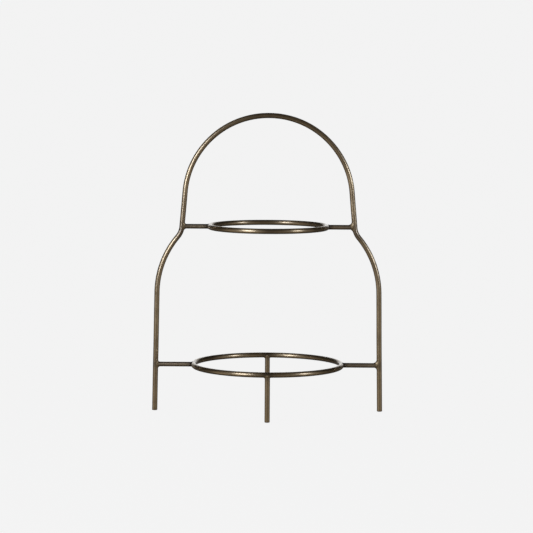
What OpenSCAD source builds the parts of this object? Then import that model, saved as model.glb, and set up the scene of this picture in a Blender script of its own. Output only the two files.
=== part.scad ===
// Two-tier plate stand: a bell-shaped hoop bent from one rod carries two open rings,
// one above the other, on four short stubs. The hoop's own ends are the side feet, and two
// short legs under the lower ring are the front and back feet. Every joint is a fillet weld.
//
// Frame: millimetres, +Z up, the origin on the table under the middle of both rings.
// The hoop stands in the XZ plane, and -Y is the front.

/* [Rod] */
// Diameter of the rod that the hoop and both rings are bent from
rod_d = 6; // [6:0.1:8]
// Diameter of the front and back legs, thinner than the rod they are welded under
leg_d = 5.8; // [4:0.1:5.8]
// Diameter of the four stubs, thinner than the rods they join
stub_d = 5.5; // [4:0.1:5.8]
// Chamfer on the cut end of each foot
foot_chamfer = 0.4; // [0.1:0.1:1]

/* [Hoop] */
// Height of the handle's crown, at the rod's centre-line
crown_h = 350; // [345:1:360]
// Distance between the side feet, centre to centre
foot_span = 267; // [262:1:290]
// Distance between the shoulder corners, where the leg and shoulder lines cross
shoulder_span = 261; // [250:1:261]
// Height of the shoulder corners
shoulder_h = 177; // [172:1:182]
// Radius of the shoulder bends
shoulder_r = 105; // [90:1:110]
// Distance between the neck corners, the waist just under the upper ring
neck_span = 205; // [196:1:205]
// Height of the neck corners
neck_h = 212; // [210:1:214]
// Radius of the neck bends
neck_r = 21; // [12:1:22]
// Distance between the corners of the handle's arch
arch_span = 181; // [170:1:190]

/* [Rings] */
// Diameter of the upper ring, at the rod's centre-line
upper_ring_d = 138; // [110:1:160]
// Height of the upper ring, at the rod's centre-line
upper_ring_h = 219; // [219:1:230]
// Diameter of the lower ring, at the rod's centre-line
lower_ring_d = 175; // [130:1:220]
// Height of the lower ring, at the rod's centre-line
lower_ring_h = 55; // [30:1:80]
// Where each ring's closing weld lies, in degrees from +X towards +Y
seam_azimuth = 35; // [20:1:70]

/* [Welds] */
// Fillet between a stub and the hoop on the left side
left_hoop_fillet = 2; // [1:0.1:3.5]
// Fillet between a stub and the hoop on the right side
right_hoop_fillet = 3.2; // [1:0.1:3.5]
// Fillet between a stub and a ring
ring_fillet = 1.6; // [1:0.1:3]
// Fillet between a leg and the lower ring
leg_fillet = 1.4; // [1:0.1:3]
// How far a ring's closing weld stands proud of the rod
seam_proud = 0.1; // [0.1:0.05:0.5]

/* [Hidden] */
$fn = 96;
rod_r = rod_d / 2;
leg_r = leg_d / 2;
stub_r = stub_d / 2;
upper_ring_r = upper_ring_d / 2;
lower_ring_r = lower_ring_d / 2;

seam_gap = 0.6;       // gap between a ring's two rod ends, filled by its closing weld
seam_width = 4;       // width of that weld along the rod
foot_overrun = 3;     // length that the hoop runs on below the table, before it is cut flat
foot_overcut = 0.3;   // how far the chamfer's cutter runs past the rod's skin
cutter_reach = 2;     // how far a cutting solid reaches past what it cuts
least_run = 0.01;     // a straight run shorter than this, between two bends, is left out
toe_sink = 0.1;       // depth that a fillet's toe is buried in the rod before it is trimmed
toe_blunt = 0.25;     // share of the fillet that its centre moves outward, which blunts the toes
cheek = 0.3;          // how far a fillet's cheeks stand out beside the thinner rod
cheek_edge = 0.1;     // the same at the fillet's top
bend_thinning = 0.04; // how much thinner the rod is drawn where it is bent
bend_lap = 0.5;       // length that each bend runs on into the straight rod

brass = "#6f5d40";
weld_brass = "#7d6a4a";

// Corners of the hoop's right half, from the foot to the crown, and the bend at each.
foot = [foot_span / 2, 0];
shoulder = [shoulder_span / 2, shoulder_h];
neck = [neck_span / 2, neck_h];
arch = [arch_span / 2, crown_h];
crown = [0, crown_h];

function unit(v) = v / norm(v);

// Signed angle that a path turns through at its corner b, coming from a and going to c
function turn(a, b, c) = atan2(cross(b - a, c - b), (b - a) * (c - b));

// The arch's two bends meet at the crown, which sets their radius.
arch_r = arch[0] / tan(turn(neck, arch, crown) / 2);

below_table = foot - foot_overrun * unit(shoulder - foot);
hoop_path = [below_table, shoulder, neck, arch, crown];
hoop_radii = [0, shoulder_r, neck_r, arch_r, 0];

// Half the width of the hoop at height z on the straight run from a to b
function run_x(a, b, z) = a[0] + (b[0] - a[0]) * (z - a[1]) / (b[1] - a[1]);

upper_hoop_x = run_x(neck, arch, upper_ring_h);
lower_hoop_x = run_x(foot, shoulder, lower_ring_h);

// Length from a corner of the path to the tangent points of its bend
function tangent(path, radii, i) =
    radii[i] == 0 ? 0 : radii[i] * tan(abs(turn(path[i - 1], path[i], path[i + 1])) / 2);

// ---- Rods ----

// A straight piece of rod from a to b in the XY plane
module rod_run(a, b, d) {
    run = b - a;
    translate([a[0], a[1], 0])
        rotate([0, 0, atan2(run[1], run[0])])
            rotate([0, 90, 0])
                cylinder(d = d, h = norm(run));
}

// The bend of radius r that starts at point p, heading along h, and turns through the signed angle
module rod_bend(p, h, angle, r, d) {
    side = sign(angle) * [-h[1], h[0]];
    centre = p + r * side;
    start = atan2(-side[1], -side[0]);
    lap = bend_lap / r * 180 / PI;
    translate([centre[0], centre[1], 0])
        rotate([0, 0, min(start, start + angle) - lap])
            rotate_extrude(angle = abs(angle) + 2 * lap)
                translate([r, 0])
                    circle(d = d - bend_thinning);
}

// A rod bent along a path of corners in the XY plane, with a bend radius at each corner
module bent_rod(path, radii, d) {
    last = len(path) - 1;
    for (i = [0 : last - 1]) {
        h = unit(path[i + 1] - path[i]);
        a = path[i] + h * tangent(path, radii, i);
        b = path[i + 1] - h * tangent(path, radii, i + 1);
        if (norm(b - a) > least_run)
            rod_run(a, b, d);
        if (radii[i + 1] > 0)
            rod_bend(b, h, turn(path[i], path[i + 1], path[i + 2]), radii[i + 1], d);
    }
}

// Cuts a side foot flat on the table and chamfers its edge
module foot_cutter() {
    cutter_r = rod_r + cutter_reach;
    bottom = -foot_overrun - cutter_reach;
    top = foot_chamfer + foot_overcut;
    translate([foot[0], 0, 0])
        rotate_extrude()
            polygon([
                [0, bottom],
                [cutter_r, bottom],
                [cutter_r, top],
                [rod_r + foot_overcut, top],
                [rod_r - foot_chamfer, 0],
                [0, 0],
            ]);
}

module half_hoop() {
    difference() {
        rotate([90, 0, 0])
            bent_rod(hoop_path, hoop_radii, rod_d);
        foot_cutter();
    }
}

module hoop_rod() {
    half_hoop();
    mirror([1, 0, 0])
        half_hoop();
}

// A ring rolled from rod, open by the gap that its closing weld fills
module ring_rod(r, z) {
    gap = seam_gap / r * 180 / PI;
    translate([0, 0, z])
        rotate([0, 0, seam_azimuth + gap / 2])
            rotate_extrude(angle = 360 - gap, $fn = 360)
                translate([r, 0])
                    circle(d = rod_d, $fn = 96);
}

module upper_ring_rod() ring_rod(upper_ring_r, upper_ring_h);
module lower_ring_rod() ring_rod(lower_ring_r, lower_ring_h);

// A stub's plain rod, from the ring's centre-line out to the hoop's. side is 1 right, -1 left.
module stub_rod(side, ring_r, hoop_x, z) {
    translate([side > 0 ? ring_r : -hoop_x, 0, z])
        rotate([0, 90, 0])
            cylinder(d = stub_d, h = hoop_x - ring_r);
}

module upper_stub_rod(side) stub_rod(side, upper_ring_r, upper_hoop_x, upper_ring_h);
module lower_stub_rod(side) stub_rod(side, lower_ring_r, lower_hoop_x, lower_ring_h);

// A leg's plain rod, up to the lower ring's centre-line. side is 1 back, -1 front.
module leg_rod(side) {
    translate([0, side * lower_ring_r, 0])
        rotate_extrude()
            polygon([
                [0, 0],
                [leg_r - foot_chamfer, 0],
                [leg_r, foot_chamfer],
                [leg_r, lower_ring_h],
                [0, lower_ring_h],
            ]);
}

// ---- Coped pieces ----

module upper_stub(side) {
    color(brass)
        difference() {
            upper_stub_rod(side);
            hoop_rod();
            upper_ring_rod();
        }
}

module lower_stub(side) {
    color(brass)
        difference() {
            lower_stub_rod(side);
            hoop_rod();
            lower_ring_rod();
        }
}

module leg(side) {
    color(brass)
        difference() {
            leg_rod(side);
            lower_ring_rod();
        }
}

// ---- Welds ----

// Untrimmed fillet of a tee joint. The host rod's centre-line runs along X through the origin,
// and the branch rod leaves along +Z. Beside the branch the flare is cut down to low cheeks.
module tee_fillet(branch_r, size) {
    offset_out = size * (1 + toe_blunt);
    arc_r = size * norm([1 + toe_blunt, toe_blunt]);
    sag = cheek - cheek_edge;
    cheek_r = (size * size + sag * sag) / (2 * sag);
    cheek_shift = cheek_r - branch_r - cheek;
    intersection() {
        rotate_extrude()
            difference() {
                square([branch_r + size, rod_r + size]);
                translate([branch_r + offset_out, rod_r - toe_sink + offset_out])
                    circle(r = arc_r);
            }
        rotate([90, 0, 90])
            linear_extrude(height = 2 * (branch_r + size + cutter_reach), center = true)
                intersection() {
                    translate([-cheek_shift, rod_r])
                        circle(r = cheek_r);
                    translate([cheek_shift, rod_r])
                        circle(r = cheek_r);
                }
    }
}

// Fillet where a stub leaves the hoop: the hoop runs along Z and the stub points inward
module hoop_fillet(side, hoop_x, z, size) {
    translate([side * hoop_x, 0, z])
        rotate([0, -side * 90, 0])
            tee_fillet(stub_r, size);
}

// Fillet where a stub leaves a ring: the ring runs along Y there and the stub points outward
module ring_side_fillet(side, ring_r, z, size) {
    translate([side * ring_r, 0, z])
        rotate([0, side * 90, 0])
            rotate([0, 0, 90])
                tee_fillet(stub_r, size);
}

module upper_hoop_weld(side, size) {
    color(weld_brass)
        difference() {
            hoop_fillet(side, upper_hoop_x, upper_ring_h, size);
            hoop_rod();
            upper_stub_rod(side);
        }
}

module lower_hoop_weld(side, size) {
    color(weld_brass)
        difference() {
            hoop_fillet(side, lower_hoop_x, lower_ring_h, size);
            hoop_rod();
            lower_stub_rod(side);
        }
}

module upper_ring_weld(side) {
    color(weld_brass)
        difference() {
            ring_side_fillet(side, upper_ring_r, upper_ring_h, ring_fillet);
            upper_ring_rod();
            upper_stub_rod(side);
        }
}

module lower_ring_weld(side) {
    color(weld_brass)
        difference() {
            ring_side_fillet(side, lower_ring_r, lower_ring_h, ring_fillet);
            lower_ring_rod();
            lower_stub_rod(side);
        }
}

module leg_weld(side) {
    color(weld_brass)
        difference() {
            translate([0, side * lower_ring_r, lower_ring_h])
                rotate([180, 0, 0])
                    tee_fillet(leg_r, leg_fillet);
            lower_ring_rod();
            leg_rod(side);
        }
}

// A ring's closing weld: a narrow band around the rod that also fills the gap between its ends
module seam_weld(r, z) {
    width = seam_width / r * 180 / PI;
    color(weld_brass)
        difference() {
            translate([0, 0, z])
                rotate([0, 0, seam_azimuth - width / 2])
                    rotate_extrude(angle = width)
                        translate([r, 0])
                            circle(r = rod_r + seam_proud);
            ring_rod(r, z);
        }
}

// ---- Nodes ----

color(brass) hoop_rod();  // hoop
color(brass) upper_ring_rod();  // upper_ring
color(brass) lower_ring_rod();  // lower_ring
upper_stub(-1);  // upper_stub_left
upper_stub(1);  // upper_stub_right
lower_stub(-1);  // lower_stub_left
lower_stub(1);  // lower_stub_right
leg(-1);  // front_leg
leg(1);  // back_leg
upper_hoop_weld(-1, left_hoop_fillet);  // upper_hoop_weld_left
upper_hoop_weld(1, right_hoop_fillet);  // upper_hoop_weld_right
lower_hoop_weld(-1, left_hoop_fillet);  // lower_hoop_weld_left
lower_hoop_weld(1, right_hoop_fillet);  // lower_hoop_weld_right
upper_ring_weld(-1);  // upper_ring_weld_left
upper_ring_weld(1);  // upper_ring_weld_right
lower_ring_weld(-1);  // lower_ring_weld_left
lower_ring_weld(1);  // lower_ring_weld_right
leg_weld(-1);  // front_leg_weld
leg_weld(1);  // back_leg_weld
seam_weld(upper_ring_r, upper_ring_h);  // upper_ring_seam
seam_weld(lower_ring_r, lower_ring_h);  // lower_ring_seam
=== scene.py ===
"""Looks of the two-tier plate stand: round rods, weld beads and an antique-brass finish, built
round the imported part. Everything is in metres, in the part's own frame: +Z up, -Y is the front.
"""

import math

import bpy
import numpy as np
from mathutils import Euler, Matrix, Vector


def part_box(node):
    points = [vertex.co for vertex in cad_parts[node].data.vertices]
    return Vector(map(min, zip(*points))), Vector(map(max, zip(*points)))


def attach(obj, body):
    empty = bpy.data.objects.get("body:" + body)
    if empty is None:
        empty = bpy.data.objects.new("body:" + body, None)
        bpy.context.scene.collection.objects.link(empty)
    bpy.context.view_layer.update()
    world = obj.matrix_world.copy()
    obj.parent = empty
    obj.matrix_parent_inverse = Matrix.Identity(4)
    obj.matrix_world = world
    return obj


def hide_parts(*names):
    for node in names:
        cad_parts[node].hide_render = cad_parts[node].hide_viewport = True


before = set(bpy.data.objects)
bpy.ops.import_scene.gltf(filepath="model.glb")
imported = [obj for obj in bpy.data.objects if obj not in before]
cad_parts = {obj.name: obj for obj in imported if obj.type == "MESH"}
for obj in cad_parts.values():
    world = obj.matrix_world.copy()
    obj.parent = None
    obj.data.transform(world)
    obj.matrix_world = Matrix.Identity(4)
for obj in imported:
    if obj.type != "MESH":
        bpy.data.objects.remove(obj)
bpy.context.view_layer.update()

MM = 0.001

# ---- Sizes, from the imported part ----


def tidy(size):
    """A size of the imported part, whose curves are faceted, to the nearest 0.1 mm."""
    return round(float(size), 4)


def extent(node):
    """The size of a node's box."""
    low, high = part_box(node)
    return high - low


def middle(node):
    """The middle of a node's box."""
    low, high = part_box(node)
    return (low + high) / 2


BARE_ROD_R = tidy(extent("upper_ring").z / 2)
BARE_STUB_R = tidy(extent("upper_stub_left").z / 2)
BARE_LEG_R = tidy(extent("front_leg").x / 2)
UPPER_RING_R = tidy(extent("upper_ring").x / 2 - BARE_ROD_R)
LOWER_RING_R = tidy(extent("lower_ring").x / 2 - BARE_ROD_R)
UPPER_RING_Z = tidy(middle("upper_ring").z)
LOWER_RING_Z = tidy(middle("lower_ring").z)
FOOT_X = tidy(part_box("hoop")[1].x - BARE_ROD_R)
CROWN_Z = tidy(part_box("hoop")[1].z - BARE_ROD_R)

# The plating and lacquer over the part's bare steel. Their thickness is a guess, picked to give
# the rods the width they are seen at.
FINISH = 0.1 * MM
ROD_R = BARE_ROD_R + FINISH
STUB_R = BARE_STUB_R + FINISH
LEG_R = BARE_LEG_R + FINISH

# The hoop's bends, as in the part's source: each corner's place across and up, and its radius
SHOULDER = (130.5 * MM, 177 * MM)
SHOULDER_R = 105 * MM
NECK = (102.5 * MM, 212 * MM)
NECK_R = 21 * MM
ARCH_X = 90.5 * MM

FOOT_CHAMFER = 0.4 * MM
SEAM_GAP = 0.6 * MM
SEAM_WIDTH = 4 * MM

# How finely the rods are meshed: the length of a row's step, and the points round a row
ROW_STEP = 1.4 * MM
AROUND = 48

# How far each weld bead reaches past its branch rod, along the host
LEFT_HOOP_FILLET = tidy(extent("upper_hoop_weld_left").z / 2 - BARE_STUB_R)
RIGHT_HOOP_FILLET = tidy(extent("upper_hoop_weld_right").z / 2 - BARE_STUB_R)
RING_FILLET = tidy(extent("upper_ring_weld_left").y / 2 - BARE_STUB_R)
LEG_FILLET = tidy(extent("front_leg_weld").x / 2 - BARE_LEG_R)

# ---- Vectors ----

X = np.array([1.0, 0.0, 0.0])
Y = np.array([0.0, 1.0, 0.0])
Z = np.array([0.0, 0.0, 1.0])


def unit(v):
    """The vector, or each row of an array of vectors, at length 1."""
    v = np.asarray(v, float)
    return v / np.linalg.norm(v, axis=-1, keepdims=True)


def waves(t, lengths, seed):
    """A smooth wander between about -1 and 1: sine waves of the given lengths along t."""
    rng = np.random.default_rng(seed)
    total = np.zeros_like(t)
    for length in lengths:
        total += np.sin(2 * math.pi * t / length + rng.uniform(0, 2 * math.pi))
    return total / len(lengths)


# ---- Centre-lines ----


def bent_line(corners, radii):
    """Points along a rod in the XZ plane, as straight runs between bends at its corners."""
    corners = [np.array(c, float) for c in corners]
    points = [corners[0]]
    for i, radius in enumerate(radii):
        before, corner, after = corners[i : i + 3]
        arrive, leave = unit(corner - before), unit(after - corner)
        angle = math.atan2(arrive[0] * leave[1] - arrive[1] * leave[0], arrive @ leave)
        start = corner - arrive * radius * math.tan(abs(angle) / 2)
        centre = start + math.copysign(radius, angle) * np.array([-arrive[1], arrive[0]])
        spoke = start - centre
        for a in np.linspace(0, angle, 65):
            c, s = math.cos(a), math.sin(a)
            turned = [c * spoke[0] - s * spoke[1], s * spoke[0] + c * spoke[1]]
            points.append(centre + np.array(turned))
    points.append(corners[-1])
    flat = np.array(points)
    return np.column_stack([flat[:, 0], np.zeros(len(flat)), flat[:, 1]])


def resample(points, step):
    """The same line with points a step apart."""
    hops = np.linalg.norm(np.diff(points, axis=0), axis=1)
    keep = np.r_[True, hops > 1e-9]
    points = points[keep]
    along = np.r_[0, np.cumsum(hops[hops > 1e-9])]
    wanted = np.linspace(0, along[-1], max(2, round(along[-1] / step) + 1))
    return np.column_stack([np.interp(wanted, along, points[:, k]) for k in range(3)])


def lengths_along(points):
    """Each point's distance from the first, along the line."""
    return np.r_[0, np.cumsum(np.linalg.norm(np.diff(points, axis=0), axis=1))]


def hoop_centre_line():
    """The hoop from its left foot over the crown to its right foot, with the slight wander of a
    rod that was bent by hand."""
    arch_turn = math.atan2(CROWN_Z - NECK[1], ARCH_X - NECK[0])
    arch_radius = ARCH_X / math.tan((math.pi - arch_turn) / 2)
    right = [(FOOT_X, 0), SHOULDER, NECK, (ARCH_X, CROWN_Z)]
    left = [(-x, z) for x, z in right]
    radii = [SHOULDER_R, NECK_R, arch_radius]
    line = resample(bent_line(left + right[::-1], radii + radii[::-1]), 0.2 * MM)
    s = lengths_along(line)
    # The wander fades out towards the feet.
    loose = np.clip(np.minimum(s, s[-1] - s) / (60 * MM), 0, 1)
    normal = unit(np.cross(np.gradient(line, axis=0), Y))
    line += normal * (0.10 * MM * loose * waves(s, (0.31, 0.17, 0.083), 3))[:, None]
    line[:, 1] += 0.12 * MM * loose * waves(s, (0.37, 0.21), 5)
    return line


def circle_line(radius, z, start, gap):
    """A ring's centre-line from the azimuth start, all the way round except for the gap."""
    turn = 2 * math.pi - gap / radius
    a = start + gap / radius / 2 + np.linspace(0, turn, round(radius * turn / ROW_STEP) + 1)
    return np.column_stack([radius * np.cos(a), radius * np.sin(a), np.full(len(a), z)])


# ---- Host rods that others are welded to: how far a point is from their centre-line ----


class RingHost:
    """A whole ring's centre-line."""

    def __init__(self, radius, z):
        self.radius, self.z = radius, z

    def distance(self, p):
        return np.hypot(np.hypot(p[..., 0], p[..., 1]) - self.radius, p[..., 2] - self.z)


class LineHost:
    """The part of a centre-line near a joint."""

    def __init__(self, line, near, reach=14 * MM):
        self.points = line[np.linalg.norm(line - near, axis=1) < reach]

    def distance(self, p):
        flat = p.reshape(-1, 3)
        gaps = flat[:, None, :] - self.points[None, :, :]
        return np.sqrt((gaps**2).sum(2).min(1)).reshape(p.shape[:-1])


def meet(host, starts, axis, clearance):
    """How far each line goes from its start along the axis until it is the host rod's radius and
    the clearance away from the host's centre-line."""
    low = np.zeros(starts.shape[:-1])
    high = np.full(starts.shape[:-1], 3 * ROD_R)
    for _ in range(30):
        mid = (low + high) / 2
        inside = host.distance(starts + mid[..., None] * axis) < ROD_R + clearance
        low = np.where(inside, mid, low)
        high = np.where(inside, high, mid)
    return (low + high) / 2


# ---- Meshes ----


def make_object(name, points, faces, rod_space, rod_along, oxide_and_shade, sharp=38):
    """A smooth-shaded mesh. rod_space is each point's place on the unrolled rod, rod_along is the
    rod's direction there, and the last is how much darker its colour is painted, from 0 to 1: weld
    oxide, painted shade where the stubs meet the rings, and a darker tone at the neck bends."""
    mesh = bpy.data.meshes.new(name)
    mesh.from_pydata([tuple(p) for p in points], [], faces)
    mesh.validate()
    mesh.update()
    mesh.polygons.foreach_set("use_smooth", [True] * len(mesh.polygons))
    mesh.set_sharp_from_angle(angle=math.radians(sharp))
    for key, vectors in (("rod_space", rod_space), ("rod_along", rod_along)):
        attribute = mesh.attributes.new(key, "FLOAT_VECTOR", "POINT")
        attribute.data.foreach_set("vector", np.asarray(vectors, np.float32).ravel())
    darkening = mesh.attributes.new("oxide_and_shade", "FLOAT", "POINT")
    darkening.data.foreach_set("value", np.asarray(oxide_and_shade, np.float32).ravel())
    made = bpy.data.objects.new(name, mesh)
    bpy.context.scene.collection.objects.link(made)
    return made


def grid_faces(rows, columns, first=0):
    """Quads between rows of points that each close on themselves."""
    faces = []
    for i in range(rows - 1):
        for j in range(columns):
            k = (j + 1) % columns
            a, b = first + i * columns, first + (i + 1) * columns
            faces.append((a + j, a + k, b + k, b + j))
    return faces


def closed_sleeve(rows):
    """Points and faces of a closed solid from rows of points round it. The first and last rows
    are closed by a fan to their middle."""
    rows = np.asarray(rows)
    count, around = rows.shape[:2]
    points = np.concatenate([rows.reshape(-1, 3), [rows[0].mean(0)], [rows[-1].mean(0)]])
    faces = grid_faces(count, around)
    first_hub, last_hub = len(points) - 2, len(points) - 1
    last_row = (count - 1) * around
    for j in range(around):
        k = (j + 1) % around
        faces.append((first_hub, k, j))
        faces.append((last_hub, last_row + j, last_row + k))
    return points, faces


def closed_loop(rows):
    """Points and faces of a closed ring-shaped solid: each row is a closed outline, and the last
    row joins the first."""
    rows = np.asarray(rows)
    count, around = rows.shape[:2]
    wrapped = []
    for a, b, c, d in grid_faces(count + 1, around):
        wrapped.append(tuple(i % (count * around) for i in (a, b, c, d)))
    return rows.reshape(-1, 3), wrapped


def swept_rows(line, side, up, side_r, up_r):
    """Rows of points round a line. side and up are the directions across it at each point."""
    a = np.linspace(0, 2 * math.pi, AROUND, endpoint=False)
    across = np.cos(a)[None, :, None] * side[:, None, :] * np.asarray(side_r)[:, None, None]
    over = np.sin(a)[None, :, None] * up[:, None, :] * np.asarray(up_r)[:, None, None]
    return line[:, None, :] + across + over


def unrolled(row_count, radius, s):
    """Each swept point's place on the straightened rod."""
    a = np.linspace(0, 2 * math.pi, AROUND, endpoint=False)
    place = np.zeros((row_count, AROUND, 3))
    place[..., 0] = radius * np.cos(a)
    place[..., 1] = radius * np.sin(a)
    place[..., 2] = np.asarray(s)[:, None]
    hubs = [[0, 0, s[0]], [0, 0, s[-1]]]
    return np.concatenate([place.reshape(-1, 3), hubs])


def for_all_points(row_values):
    """Each row's value repeated for all its points, then for the two hubs."""
    row_values = np.asarray(row_values, float)
    return np.concatenate([np.repeat(row_values, AROUND, axis=0), row_values[[0, -1]]])


def darkening_near(points):
    """How much darker each point's colour is painted near the darkened spots: weld oxide at the
    welds, painted shade where the stubs meet the rings, and a darker tone at the neck bends. Full
    strength at a spot, and none past its reach along the rods."""
    points = np.asarray(points)
    darkening = np.zeros(len(points))
    for spot, strength, reach in DARKENED_SPOTS:
        gap = np.linalg.norm(points - spot, axis=1) - ROD_R
        darkening = np.maximum(darkening, strength * np.clip(1 - gap / reach, 0, 1))
    return darkening


# ---- Where the joints are ----

hoop_line = hoop_centre_line()


def hoop_x_at(side, z):
    """Where the hoop's centre-line stands at height z, on the given side of the stand."""
    half = hoop_line[: len(hoop_line) // 2] if side < 0 else hoop_line[len(hoop_line) // 2 :][::-1]
    return float(np.interp(z, half[:, 2], half[:, 0]))


SIDES = {"left": -1, "right": 1}
TIERS = {"upper": (UPPER_RING_R, UPPER_RING_Z), "lower": (LOWER_RING_R, LOWER_RING_Z)}
ring_host = {tier: RingHost(*TIERS[tier]) for tier in TIERS}
hoop_joint = {}
ring_joint = {}
for tier, (ring_r, ring_z) in TIERS.items():
    for side_name, side in SIDES.items():
        hoop_joint[tier, side_name] = np.array([hoop_x_at(side, ring_z), 0, ring_z])
        ring_joint[tier, side_name] = np.array([side * ring_r, 0, ring_z])
leg_joint = {
    "front": np.array([0, -LOWER_RING_R, LOWER_RING_Z]),
    "back": np.array([0, LOWER_RING_R, LOWER_RING_Z]),
}
neck = {name: np.array([side * NECK[0], 0, NECK[1]]) for name, side in SIDES.items()}

# Where the rods' colour is painted darker, as (place, strength, reach): the welds' oxide, and a
# darker tone round the tight neck bends
# Painted shade: the ring joints are darkest, for the shade where each stub meets its ring, on top
# of the weld oxide.
DARKENED_SPOTS = [(joint, 1.0, 6 * MM) for joint in ring_joint.values()]
DARKENED_SPOTS += [(joint, 0.45, 7 * MM) for joint in [*hoop_joint.values(), *leg_joint.values()]]
DARKENED_SPOTS += [(bend, 0.5, 16 * MM) for bend in neck.values()]

# ---- Rods ----


def build_hoop():
    """The hoop, with its feet cut level with the table and chamfered."""
    line = resample(hoop_line, ROW_STEP)
    tangent = unit(np.gradient(line, axis=0))
    up = np.tile(Y, (len(line), 1))
    side = unit(np.cross(up, tangent))
    s = lengths_along(line)
    # A bent rod is a little flatter across the bend.
    turning = np.linalg.norm(np.gradient(tangent, axis=0), axis=1) / ROW_STEP
    flatter = np.convolve(np.clip(turning * NECK_R, 0, 1), np.ones(9) / 9, "same")
    rows = swept_rows(line, side, up, ROD_R * (1 - 0.015 * flatter), ROD_R * (1 + 0.01 * flatter))
    # The feet's own rows take the place of the line's first and last two.
    inner = slice(2, -2)
    rows, s, tangent = rows[inner], s[inner], tangent[inner]
    first = foot_rows(-FOOT_X, -1)
    last = foot_rows(FOOT_X, 1)[::-1]
    rows = np.concatenate([first, rows, last])
    s = np.r_[np.zeros(len(first)), s, np.full(len(last), s[-1] + 2 * ROW_STEP)]
    along = np.concatenate([tangent[:1]] * len(first) + [tangent] + [tangent[-1:]] * len(last))
    points, faces = closed_sleeve(rows)
    place = unrolled(len(rows), ROD_R, s)
    return make_object("hoop_rod", points, faces, place, for_all_points(along), darkening_near(points))


def cut_end(radius):
    """The profile of a sawn rod end, as (radius, height) from its middle out and up."""
    soft = 0.12 * MM
    return [
        (0.4 * radius, 0),
        (radius - FOOT_CHAMFER - soft, 0),
        (radius - FOOT_CHAMFER, 0.3 * soft),
        (radius - 0.3 * soft, FOOT_CHAMFER),
        (radius, FOOT_CHAMFER + soft),
    ]


def foot_rows(x, side):
    """Rows of a side foot, from the middle of its cut face up."""
    lean = (SHOULDER[0] - FOOT_X) / SHOULDER[1]
    a = np.linspace(0, 2 * math.pi, AROUND, endpoint=False)
    rows = []
    for radius, z in cut_end(ROD_R):
        row = np.zeros((AROUND, 3))
        row[:, 0] = x + side * lean * z - side * radius * np.cos(a)
        row[:, 1] = radius * np.sin(a)
        row[:, 2] = z
        rows.append(row)
    return np.array(rows)


def build_ring(tier):
    """A ring's rod, open by the gap that its closing weld fills."""
    radius, z = TIERS[tier]
    seam = middle(f"{tier}_ring_seam")
    start = round(math.degrees(math.atan2(seam.y, seam.x)))
    line = circle_line(radius, z, math.radians(start), SEAM_GAP)
    outward = unit(line * [1, 1, 0])
    up = np.tile(Z, (len(line), 1))
    radii = np.full(len(line), ROD_R)
    rows = swept_rows(line, outward, up, radii, radii)
    points, faces = closed_sleeve(rows)
    faces = [f[::-1] for f in faces]
    place = unrolled(len(rows), ROD_R, lengths_along(line))
    along = for_all_points(np.cross(up, outward))
    return make_object(f"{tier}_ring_rod", points, faces, place, along, darkening_near(points))


def coped_rows(host, joint, axis, across, up, radius):
    """Rows that close a rod's end against its host, from the middle of the end out to its edge.
    The axis points from the host's centre-line into the rod."""
    a = np.linspace(0, 2 * math.pi, AROUND, endpoint=False)
    rows = []
    for share in (0.35, 0.7, 1.0):
        ring = np.cos(a)[:, None] * across + np.sin(a)[:, None] * up
        starts = joint + share * radius * ring
        rows.append(starts + meet(host, starts, axis, 0.0)[:, None] * axis)
    return rows


def build_stub(tier, side_name):
    """A stub between a ring and the hoop, with both ends shaped to them."""
    side = SIDES[side_name]
    axis = side * X
    inner = ring_joint[tier, side_name]
    outer = hoop_joint[tier, side_name]
    hoop_host = LineHost(hoop_line, outer)
    start = coped_rows(ring_host[tier], inner, axis, Y, Z, STUB_R)
    end = coped_rows(hoop_host, outer, -axis, Y, Z, STUB_R)
    count = max(4, round(np.linalg.norm(outer - inner) / (2 * ROW_STEP)))
    run = [start[-1] + (end[-1] - start[-1]) * share for share in np.linspace(0, 1, count)[1:-1]]
    rows = np.array(start + run + end[::-1])
    points, faces = closed_sleeve(rows)
    if side > 0:
        faces = [f[::-1] for f in faces]
    place = unrolled(len(rows), STUB_R, np.abs(rows[:, :, 0].mean(1)))
    along = np.tile(axis, (len(points), 1))
    name = f"{tier}_stub_rod_{side_name}"
    return make_object(name, points, faces, place, along, darkening_near(points))


def build_leg(which):
    """The front or back leg, with its top shaped to the lower ring."""
    joint = leg_joint[which]
    a = np.linspace(0, 2 * math.pi, AROUND, endpoint=False)
    circle = np.cos(a)[:, None] * X + np.sin(a)[:, None] * Y
    foot = joint * [1, 1, 0]
    bottom = [foot + radius * circle + z * Z for radius, z in cut_end(LEG_R)]
    top = coped_rows(ring_host["lower"], joint, -Z, X, Y, LEG_R)
    count = round(joint[2] / (2 * ROW_STEP))
    rise = top[-1] - bottom[-1]
    run = [bottom[-1] + rise * share for share in np.linspace(0, 1, count)[1:-1]]
    rows = np.array(bottom + run + top[::-1])
    points, faces = closed_sleeve(rows)
    place = unrolled(len(rows), LEG_R, rows[:, :, 2].mean(1))
    along = np.tile(Z, (len(points), 1))
    return make_object(f"{which}_leg_rod", points, faces, place, along, darkening_near(points))


# ---- Welds ----

FILLET_AROUND = 96
FILLET_STEPS = 9

# How deep a bead's hidden back lies inside the rods, and how full its face is: 0 is a quarter
# circle hollow, 1 is flat
SINK = 0.3 * MM
FULLNESS = 0.28


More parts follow.
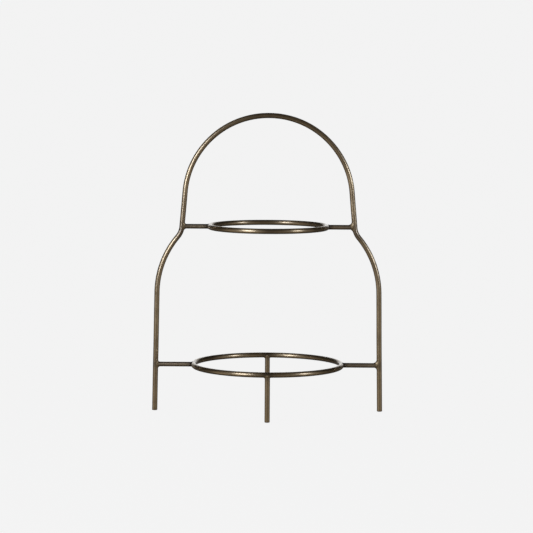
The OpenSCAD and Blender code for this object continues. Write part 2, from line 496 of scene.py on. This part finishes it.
def fillet_legs(a, radius, leg, lean, seed):
    """How far the bead reaches over the host and up the branch, at each angle round the branch.
    A bead with a lean is larger on one side. Beside the branch the host's side falls away, so
    the bead is narrow there."""
    leg = leg * (1 + lean * np.cos(a))
    beside = np.abs(np.sin(a))
    room = 0.97 * ROD_R / np.maximum(beside, 0.05) - radius
    wander = 1 + 0.10 * waves(a, (2 * math.pi, 2 * math.pi / 3), seed)
    wander += 0.035 * np.cos(22 * a + waves(a, (math.pi, math.pi / 2), seed + 1))
    over_host = (leg * wander) ** -3.0 + np.maximum(room, 0.1 * MM) ** -3.0
    up_branch = leg * (0.55 + 0.45 * np.cos(a) ** 2) * (2 - wander)
    return over_host ** (-1 / 3), up_branch


def build_fillet(name, host, joint, axis, along, radius, leg, lean, darkening, seed):
    """The weld bead round a branch rod. joint is on the host's centre-line, axis points up the
    branch, and along follows the host. Each outline point is set by its distance from the branch's
    skin and from the host's, so that both toes lie on the rods."""
    across = np.cross(axis, along)
    a = np.linspace(0, 2 * math.pi, FILLET_AROUND, endpoint=False)
    over_host, up_branch = fillet_legs(a, radius, leg, lean, seed)
    outline = []
    for share in np.linspace(0, 1, FILLET_STEPS):
        t = share * math.pi / 2
        from_branch = over_host * ((1 - FULLNESS) * (1 - math.cos(t)) + FULLNESS * share)
        from_host = up_branch * ((1 - FULLNESS) * (1 - math.sin(t)) + FULLNESS * (1 - share))
        cheek = 0.22 * MM * math.sin(2 * t) * np.sin(a) ** 4
        outline.append((from_branch + cheek, from_host))
    sunk = np.full(len(a), -SINK)
    outline.append((over_host - 0.5 * SINK, sunk))
    outline.append((sunk, sunk))
    outline.append((sunk, up_branch - 0.5 * SINK))
    rows = []
    spoke = np.cos(a)[:, None] * along + np.sin(a)[:, None] * across
    for from_branch, from_host in outline:
        starts = joint + (radius + from_branch)[:, None] * spoke
        rows.append(starts + meet(host, starts, axis, from_host)[:, None] * axis)
    points, faces = closed_loop(rows)
    place = points - joint
    along = np.tile(axis, (len(points), 1))
    made = make_object(name, points, faces, place, along, np.full(len(points), darkening), sharp=50)
    face_outward(made)
    return made


def face_outward(made):
    """Turns the mesh's faces to point out of its solid."""
    mesh = made.data
    volume = 0.0
    for p in mesh.polygons:
        corner = [Vector(mesh.vertices[i].co) for i in p.vertices]
        for i in range(1, len(corner) - 1):
            volume += corner[0].dot(corner[i].cross(corner[i + 1]))
    if volume < 0:
        mesh.flip_normals()


def build_seam(tier):
    """A ring's closing weld, ground nearly flush: a low collar that fades into the rod."""
    radius, z = TIERS[tier]
    low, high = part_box(f"{tier}_ring_seam")
    seam = (low + high) / 2
    azimuth = math.radians(round(math.degrees(math.atan2(seam.y, seam.x))))
    proud = tidy((high.z - low.z) / 2) - BARE_ROD_R
    half_width = SEAM_WIDTH / 2
    u = np.linspace(-1, 1, 17)
    a = azimuth + u * half_width / radius
    line = np.column_stack([radius * np.cos(a), radius * np.sin(a), np.full(len(a), z)])
    outward = unit(line * [1, 1, 0])
    up = np.tile(Z, (len(line), 1))
    bulge = ROD_R + proud * np.cos(u * math.pi / 2) ** 1.2 - 0.06 * MM * np.abs(u) ** 6
    rows = swept_rows(line, outward, up, bulge, bulge)
    around = np.linspace(0, 2 * math.pi, AROUND, endpoint=False)
    ripple = 1 + 0.006 * waves(around, (2 * math.pi / 3, 2 * math.pi / 5), 11)
    rows = line[:, None, :] + (rows - line[:, None, :]) * ripple[None, :, None]
    points, faces = closed_sleeve(rows)
    place = unrolled(len(rows), ROD_R, u * half_width)
    along = for_all_points(np.cross(up, outward))
    name = f"{tier}_ring_seam_weld"
    made = make_object(name, points, faces, place, along, np.full(len(points), 0.1))
    face_outward(made)
    return made


# ---- Material nodes ----


class Nodes:
    """Short calls for building one material's node tree."""

    def __init__(self, name):
        self.material = bpy.data.materials.new(name)
        self.material.use_nodes = True
        self.tree = self.material.node_tree
        self.shader = self.tree.nodes["Principled BSDF"]

    def add(self, kind, **values):
        node = self.tree.nodes.new(kind)
        for key, value in values.items():
            setattr(node, key, value)
        return node

    def join(self, source, target):
        self.tree.links.new(source, target)

    def attribute(self, name, output):
        return self.add("ShaderNodeAttribute", attribute_name=name).outputs[output]

    def stretched(self, vector, scale):
        """A coordinate in metres, scaled to cycles."""
        node = self.add("ShaderNodeMapping", vector_type="POINT")
        node.inputs["Scale"].default_value = scale
        self.join(vector, node.inputs["Vector"])
        return node.outputs["Vector"]

    def noise(self, vector, detail=3.0, roughness=0.55, distortion=0.0):
        node = self.add("ShaderNodeTexNoise", noise_dimensions="3D")
        node.inputs["Scale"].default_value = 1.0
        node.inputs["Detail"].default_value = detail
        node.inputs["Roughness"].default_value = roughness
        node.inputs["Distortion"].default_value = distortion
        self.join(vector, node.inputs["Vector"])
        return node.outputs["Fac"]

    def round_the_rod(self):
        """The direction round the rod, square to its skin and to its length."""
        node = self.add("ShaderNodeVectorMath", operation="CROSS_PRODUCT")
        self.join(self.add("ShaderNodeNewGeometry").outputs["Normal"], node.inputs[0])
        self.join(self.attribute("rod_along", "Vector"), node.inputs[1])
        return node.outputs["Vector"]

    def remap(self, value, low, high, to_low=0.0, to_high=1.0):
        """Carries low to to_low and high to to_high, and goes no further than either."""
        node = self.add("ShaderNodeMapRange", clamp=True)
        self.join(value, node.inputs["Value"])
        node.inputs["From Min"].default_value = low
        node.inputs["From Max"].default_value = high
        node.inputs["To Min"].default_value = to_low
        node.inputs["To Max"].default_value = to_high
        return node.outputs["Result"]

    def combine(self, a, b, operation):
        """Works out one number from two, each a socket or a plain number."""
        node = self.add("ShaderNodeMath", operation=operation)
        for socket, value in zip(node.inputs, (a, b), strict=False):
            if isinstance(value, (int, float)):
                socket.default_value = value
            else:
                self.join(value, socket)
        return node.outputs["Value"]

    def sum(self, a, b):
        return self.combine(a, b, "ADD")

    def product(self, a, b):
        return self.combine(a, b, "MULTIPLY")

    def blend(self, factor, a, b):
        """Mixes two colours, each a socket or an RGB triple."""
        node = self.add("ShaderNodeMix", data_type="RGBA")
        self.join(factor, node.inputs["Factor"])
        for socket, value in ((node.inputs[6], a), (node.inputs[7], b)):
            if isinstance(value, tuple):
                socket.default_value = (*value, 1)
            else:
                self.join(value, socket)
        return node.outputs[2]

    def bump(self, height, distance, under=None):
        """The skin's direction over a relief that is the distance deep, on top of the one under."""
        node = self.add("ShaderNodeBump")
        node.inputs["Strength"].default_value = 1.0
        node.inputs["Distance"].default_value = distance
        self.join(height, node.inputs["Height"])
        if under is not None:
            self.join(under, node.inputs["Normal"])
        return node.outputs["Normal"]


# The finish's colours. The stubs are thinner stock, a little greyer and paler.
BRASS = (0.45, 0.34, 0.19)
BRIGHT_BRASS = (0.58, 0.465, 0.315)
PATINA = (0.28, 0.203, 0.112)
# The dark patina of specks and weld oxide, also painted over the ring joints as shade.
DEEP_PATINA_AND_SHADE = (0.06, 0.044, 0.032)
STUB_BRASS = (0.50, 0.40, 0.27)
STUB_PATINA = (0.31, 0.24, 0.16)


def antique_brass(name, brass=BRASS, patina=PATINA, roughness=0.35, drawn=0.65):
    """Lacquered antique brass on drawn rod: brown patina in soft clouds, fine lines along the rod,
    dark specks, and darker places painted in: weld oxide at the welds, painted shade where the
    stubs meet the rings, and a darker tone at the neck bends. drawn is how strongly the fine lines
    stretch its highlights."""
    n = Nodes(name)
    place = n.attribute("rod_space", "Vector")
    spot = n.add("ShaderNodeTexCoord").outputs["Object"]

    clouds = n.noise(n.stretched(spot, (26, 26, 26)), detail=4, roughness=0.6, distortion=0.4)
    mottle = n.noise(n.stretched(spot, (210, 210, 210)), detail=5, roughness=0.65)
    lines = n.noise(n.stretched(place, (2300, 2300, 22)), detail=4, roughness=0.6)
    specks = n.noise(n.stretched(spot, (1500, 1500, 1500)), detail=2, roughness=0.5)

    tone = n.sum(n.remap(clouds, 0.34, 0.66), n.remap(mottle, 0.30, 0.70, -0.14, 0.14))
    colour = n.blend(n.remap(tone, 0.0, 1.0), patina, brass)
    worn = n.product(n.remap(lines, 0.52, 0.72), n.remap(mottle, 0.45, 0.7))
    colour = n.blend(n.remap(worn, 0, 0.6, 0, 0.25), colour, BRIGHT_BRASS)
    pits = n.remap(specks, 0.66, 0.74, 0, 0.75)
    colour = n.blend(pits, colour, DEEP_PATINA_AND_SHADE)
    # Painted darkening from the mesh, with ragged edges: weld oxide, painted shade where the stubs
    # meet the rings, and a darker tone at the neck bends.
    darkening = n.attribute("oxide_and_shade", "Fac")
    ragged = n.remap(n.sum(darkening, n.remap(mottle, 0.3, 0.7, -0.15, 0.15)), 0.1, 0.75, 0, 0.9)
    colour = n.blend(ragged, colour, DEEP_PATINA_AND_SHADE)
    n.join(colour, n.shader.inputs["Base Color"])

    rough = n.remap(mottle, 0.3, 0.7, roughness - 0.03, roughness + 0.04)
    rough = n.sum(rough, n.remap(lines, 0.3, 0.7, -0.02, 0.02))
    rough = n.sum(rough, n.product(pits, 0.18))
    n.join(rough, n.shader.inputs["Roughness"])

    dents = n.noise(n.stretched(place, (330, 330, 60)), detail=2, roughness=0.4)
    relief = n.bump(dents, 0.008 * MM)
    relief = n.bump(lines, 0.003 * MM, under=relief)
    relief = n.bump(n.remap(specks, 0.6, 0.75, 1, 0), 0.003 * MM, under=relief)
    n.join(relief, n.shader.inputs["Normal"])

    # The skin's fine lines run along the rod, so it blurs what it mirrors round the rod.
    n.join(n.round_the_rod(), n.shader.inputs["Tangent"])
    n.shader.inputs["Anisotropic"].default_value = drawn
    n.shader.inputs["Metallic"].default_value = 1.0
    n.shader.inputs["Coat Weight"].default_value = 1.0
    n.shader.inputs["Coat IOR"].default_value = 1.7
    n.shader.inputs["Coat Roughness"].default_value = 0.26
    return n.material


def weld_brass(name):
    """The same finish over a weld bead: rougher, more mottled, and painted darker by each bead's
    share: weld oxide, with painted shade on the beads where the stubs meet the rings.
    """
    n = Nodes(name)
    spot = n.add("ShaderNodeTexCoord").outputs["Object"]
    clouds = n.noise(n.stretched(spot, (150, 150, 150)), detail=4, roughness=0.6)
    grain = n.noise(n.stretched(spot, (900, 900, 900)), detail=4, roughness=0.65)
    specks = n.noise(n.stretched(spot, (2100, 2100, 2100)), detail=2)

    colour = n.blend(n.remap(clouds, 0.32, 0.66), PATINA, BRASS)
    colour = n.blend(n.remap(grain, 0.54, 0.74, 0, 0.5), colour, BRIGHT_BRASS)
    colour = n.blend(n.remap(specks, 0.60, 0.72, 0, 0.7), colour, DEEP_PATINA_AND_SHADE)
    # The bead's painted darkening: weld oxide, and painted shade on the ring beads.
    colour = n.blend(n.attribute("oxide_and_shade", "Fac"), colour, DEEP_PATINA_AND_SHADE)
    n.join(colour, n.shader.inputs["Base Color"])
    n.join(n.remap(grain, 0.3, 0.7, 0.42, 0.56), n.shader.inputs["Roughness"])

    relief = n.bump(clouds, 0.10 * MM)
    relief = n.bump(grain, 0.03 * MM, under=relief)
    n.join(relief, n.shader.inputs["Normal"])

    n.shader.inputs["Metallic"].default_value = 1.0
    n.shader.inputs["Coat Weight"].default_value = 0.35
    n.shader.inputs["Coat Roughness"].default_value = 0.28
    return n.material


# ---- Studio ----

STUDIO_R = 6.0

# The paint's glow, and how much of it is lit paint instead, which takes the softest of shadows
BACKGROUND = 0.896
LIT_SHARE = 0.015

# The softboxes are daylight, a little cooler than the room.
DAYLIGHT = (0.93, 1.0, 1.14)
ROOM_TINT = (1.0, 0.90, 0.78)

# The camera, whose tilt and roll are in degrees and whose lens is in millimetres
CAMERA_PLACE = (-0.0019, -2.743, 0.4317)
CAMERA_TILT = 5.41
CAMERA_ROLL = 0.40
LENS = 157.6


def pale_paint():
    """The floor and walls: pale paint that glows a little, so that no horizon shows."""
    n = Nodes("studio_paint")
    spot = n.add("ShaderNodeTexCoord").outputs["Object"]
    tooth = n.noise(n.stretched(spot, (90, 90, 90)), detail=4)
    colour = n.blend(n.remap(tooth, 0.3, 0.7), (0.895, 0.895, 0.895), (0.905, 0.905, 0.905))
    glow = n.add("ShaderNodeEmission")
    glow.inputs["Color"].default_value = (1, 1, 1, 1)
    glow.inputs["Strength"].default_value = BACKGROUND
    mix = n.add("ShaderNodeMixShader")
    mix.inputs["Fac"].default_value = LIT_SHARE
    n.join(colour, n.shader.inputs["Base Color"])
    n.shader.inputs["Roughness"].default_value = 0.9
    n.shader.inputs["Specular IOR Level"].default_value = 0.0
    n.join(glow.outputs[0], mix.inputs[1])
    n.join(n.shader.outputs[0], mix.inputs[2])
    n.join(mix.outputs[0], n.tree.nodes["Material Output"].inputs["Surface"])
    return n.material


def build_studio():
    """A round floor that sweeps up into a wall and a ceiling, all the way round the stand."""
    sweep = 1.6
    profile = [(0.001, 0), (0.5, 0), (STUDIO_R - sweep, 0)]
    for k in range(1, 13):
        t = k / 12 * math.pi / 2
        profile.append((STUDIO_R - sweep + sweep * math.sin(t), sweep - sweep * math.cos(t)))
    for k in range(1, 17):
        t = k / 16 * math.pi / 2
        profile.append((STUDIO_R * math.cos(t) + 0.001, sweep + STUDIO_R * math.sin(t)))
    a = np.linspace(0, 2 * math.pi, 96, endpoint=False)
    points = [(r * math.cos(t), r * math.sin(t), z) for r, z in profile for t in a]
    mesh = bpy.data.meshes.new("studio_floor")
    mesh.from_pydata(points, [], grid_faces(len(profile), len(a)) + [tuple(range(len(a)))[::-1]])
    mesh.update()
    mesh.polygons.foreach_set("use_smooth", [True] * len(mesh.polygons))
    studio = bpy.data.objects.new("studio_floor", mesh)
    bpy.context.scene.collection.objects.link(studio)
    mesh.materials.append(pale_paint())
    # The rods mirror the room of the world shader, not the paint round them.
    studio.visible_glossy = False


def softbox(name, azimuth, distance, height, size, radiance):
    """A rectangular light that faces the stand. Azimuths run from the front towards +X."""
    light = bpy.data.lights.new(name, "AREA")
    light.shape = "RECTANGLE"
    light.size, light.size_y = size
    # An area light's radiance is its energy over four times its area.
    light.energy = 4 * radiance * light.size * light.size_y
    light.color = DAYLIGHT
    made = bpy.data.objects.new(name, light)
    bpy.context.scene.collection.objects.link(made)
    a = math.radians(azimuth)
    made.location = (distance * math.sin(a), -distance * math.cos(a), height)
    target = Vector((0, 0, CROWN_Z / 2))
    made.rotation_euler = (target - made.location).to_track_quat("-Z", "Y").to_euler()
    made.visible_camera = False


def build_world():
    """The dim room that the rods mirror: a lighter band just below eye level, lighter sides, a
    dark back, and a pale wall straight behind the stand."""
    world = bpy.data.worlds.new("studio_room")
    world.use_nodes = True
    bpy.context.scene.world = world
    tree = world.node_tree
    back = tree.nodes["Background"]
    coord = tree.nodes.new("ShaderNodeTexCoord")
    split = tree.nodes.new("ShaderNodeSeparateXYZ")
    tree.links.new(coord.outputs["Generated"], split.inputs[0])

    def ramp(axis, stops):
        """Brightness along one axis. Its stops are (place, value), and a place is 0 at the axis's
        low end, 0.5 level with the stand and 1 at its high end."""
        node = tree.nodes.new("ShaderNodeValToRGB")
        node.color_ramp.interpolation = "EASE"
        while len(node.color_ramp.elements) < len(stops):
            node.color_ramp.elements.new(0.5)
        for element, (place, value) in zip(node.color_ramp.elements, stops, strict=True):
            element.position = place
            element.color = (value, value, value, 1)
        half = tree.nodes.new("ShaderNodeMapRange")
        half.inputs["From Min"].default_value = -1
        tree.links.new(split.outputs[axis], half.inputs["Value"])
        tree.links.new(half.outputs["Result"], node.inputs["Fac"])
        return node.outputs["Color"]

    def combine(a, b, operation):
        """Multiplies or adds two colours."""
        node = tree.nodes.new("ShaderNodeMix")
        node.data_type = "RGBA"
        node.blend_type = operation
        node.inputs["Factor"].default_value = 1
        tree.links.new(a, node.inputs[6])
        tree.links.new(b, node.inputs[7])
        return node.outputs[2]

    floor_to_band = [(0.10, 0.11), (0.32, 0.20), (0.42, 0.268)]
    band_to_ceiling = [(0.475, 0.11), (0.56, 0.095), (0.80, 0.085)]
    height = ramp("Z", floor_to_band + band_to_ceiling)
    sideways = ramp("X", [(0.0, 2.2), (0.30, 1.6), (0.5, 0.65), (0.70, 1.2), (1.0, 1.7)])
    behind = ramp("Y", [(0.0, 1.0), (0.40, 1.0), (0.60, 0.25), (1.0, 0.2)])
    wall = ramp("Y", [(0.0, 0.0), (0.935, 0.0), (0.98, 0.7), (1.0, 1.4)])
    above = ramp("Z", [(0.0, 0.15), (0.47, 0.15), (0.54, 1.0), (1.0, 1.0)])
    room = combine(combine(height, sideways, "MULTIPLY"), behind, "MULTIPLY")
    tint = tree.nodes.new("ShaderNodeRGB")
    tint.outputs[0].default_value = (*ROOM_TINT, 1)
    room = combine(room, tint.outputs[0], "MULTIPLY")
    room = combine(room, combine(wall, above, "MULTIPLY"), "ADD")
    tree.links.new(room, back.inputs["Color"])
    back.inputs["Strength"].default_value = 1.0


def build_lights():
    """Two tall softboxes, which make the bright spots on the rings and along the hoop's bends."""
    softbox("key_left", -38.0, 1.5, 0.56, (0.44, 0.70), 7.6)
    softbox("key_right", 56.8, 3.0, 0.83, (0.42, 0.78), 15.0)


def build_camera():
    """A long lens a little above the stand, tilted down to it and rolled a little."""
    data = bpy.data.cameras.new("camera")
    data.sensor_width = 36
    data.lens = LENS
    data.dof.use_dof = False
    camera = bpy.data.objects.new("camera", data)
    bpy.context.scene.collection.objects.link(camera)
    camera.location = CAMERA_PLACE
    tilted = Euler((math.radians(90 - CAMERA_TILT), 0, 0)).to_matrix()
    rolled = Euler((0, 0, math.radians(CAMERA_ROLL))).to_matrix()
    camera.rotation_euler = (tilted @ rolled).to_euler()
    bpy.context.scene.camera = camera


# ---- Assembly ----


def dress(piece, node, material):
    """Puts the finish on a piece, which rides with the frame and stands for the CAD node."""
    piece.data.materials.append(material)
    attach(piece, "root")
    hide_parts(node)


rod_finish = antique_brass("antique_brass_rod")
stub_finish = antique_brass(
    "antique_brass_stub", brass=STUB_BRASS, patina=STUB_PATINA, roughness=0.43, drawn=0.0
)
weld_finish = weld_brass("antique_brass_weld")

dress(build_hoop(), "hoop", rod_finish)
for tier in TIERS:
    dress(build_ring(tier), f"{tier}_ring", rod_finish)
    dress(build_seam(tier), f"{tier}_ring_seam", rod_finish)
    for side_name in SIDES:
        dress(build_stub(tier, side_name), f"{tier}_stub_{side_name}", stub_finish)
for which in leg_joint:
    dress(build_leg(which), f"{which}_leg", rod_finish)

for tier_number, tier in enumerate(TIERS):
    for side_name, side in SIDES.items():
        seed = 20 + 2 * tier_number + (side > 0)
        joint = hoop_joint[tier, side_name]
        bead = build_fillet(
            f"{tier}_hoop_bead_{side_name}",
            LineHost(hoop_line, joint),
            joint,
            axis=-side * X,
            along=Z,
            radius=STUB_R,
            leg=LEFT_HOOP_FILLET if side < 0 else RIGHT_HOOP_FILLET,
            lean=0.15 * side,
            darkening=0.25,
            seed=seed,
        )
        dress(bead, f"{tier}_hoop_weld_{side_name}", weld_finish)
        bead = build_fillet(
            f"{tier}_ring_bead_{side_name}",
            ring_host[tier],
            ring_joint[tier, side_name],
            axis=side * X,
            along=Y,
            radius=STUB_R,
            leg=RING_FILLET,
            lean=-0.2,
            # Painted shade: the ring beads are darkened for the shade between stub and ring, as
            # well as for weld oxide.
            darkening=0.9,
            seed=seed + 10,
        )
        dress(bead, f"{tier}_ring_weld_{side_name}", weld_finish)
for number, (which, joint) in enumerate(leg_joint.items()):
    bead = build_fillet(
        f"{which}_leg_bead",
        ring_host["lower"],
        joint,
        axis=-Z,
        along=X,
        radius=LEG_R,
        leg=LEG_FILLET,
        lean=-0.25,
        darkening=0.25,
        seed=40 + number,
    )
    dress(bead, f"{which}_leg_weld", weld_finish)

build_studio()
build_world()
build_lights()
build_camera()
bpy.context.scene.view_settings.view_transform = "Standard"
